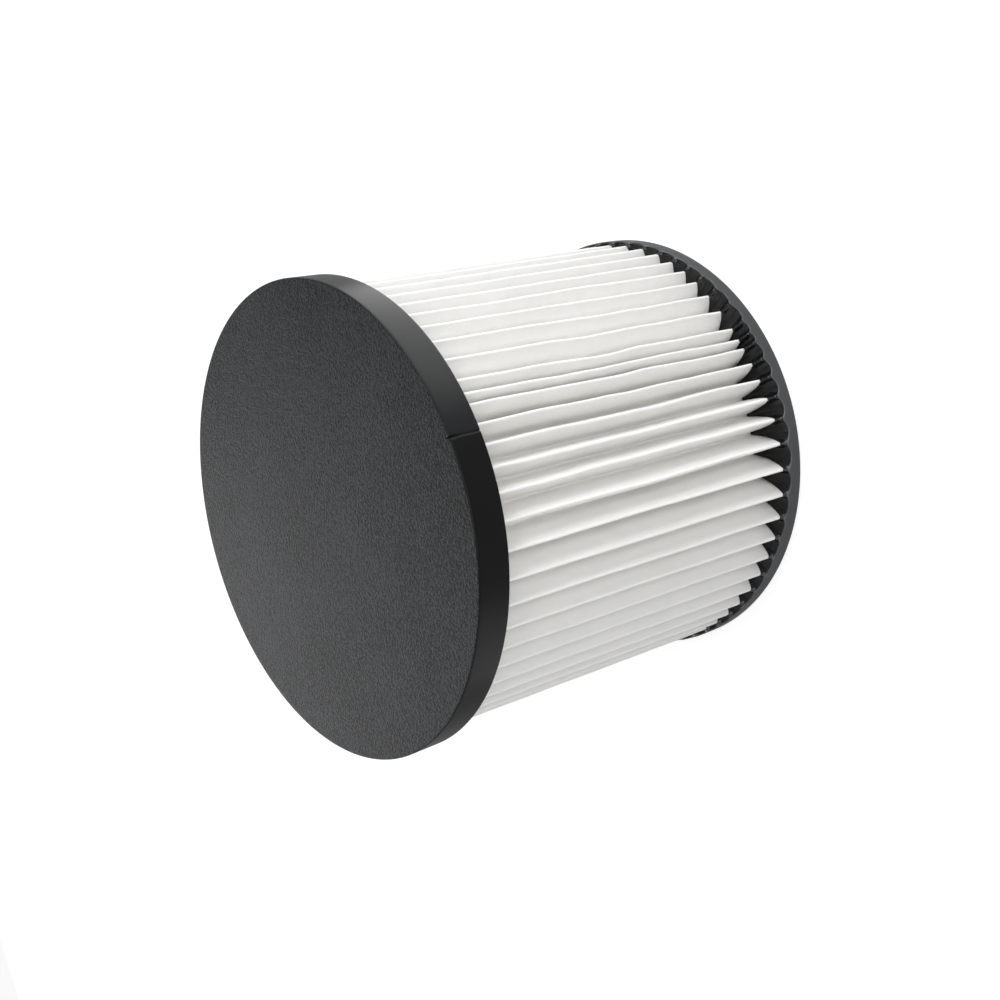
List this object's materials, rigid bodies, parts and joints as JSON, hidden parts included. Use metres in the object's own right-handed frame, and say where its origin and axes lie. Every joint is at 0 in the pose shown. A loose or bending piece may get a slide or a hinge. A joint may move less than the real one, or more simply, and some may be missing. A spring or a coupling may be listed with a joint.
{
  "type": "pleated filter element",
  "caption": "Round cartridge filter with a pleated white sheet between a closed end cap and an open ring cap, drawn through from outside in.",
  "frame": {"origin": "middle of the sealing face that the element stands on, at its open end", "axes": "+Z along the axis, from the open end to the closed end cap; -Y towards the side that shows best"},
  "size_m": [0.125, 0.125, 0.118],
  "materials": {
    "cast_cap": "fine-grained moulded face, smooth satin rim, glossy free surface",
    "filter_sheet": "white non-woven polyester, slightly fibrous",
    "core_plastic": "plain moulded",
    "hot_melt": "waxy",
    "seal_rubber": "soft matte"
  },
  "bodies": {
    "root": {"closed_end_cap": "cast_cap", "open_end_cap": "cast_cap", "pleated_media": "filter_sheet", "support_core": "core_plastic", "seam_bead": "hot_melt", "sealing_ring": "seal_rubber"}
  },
  "joints": []
}
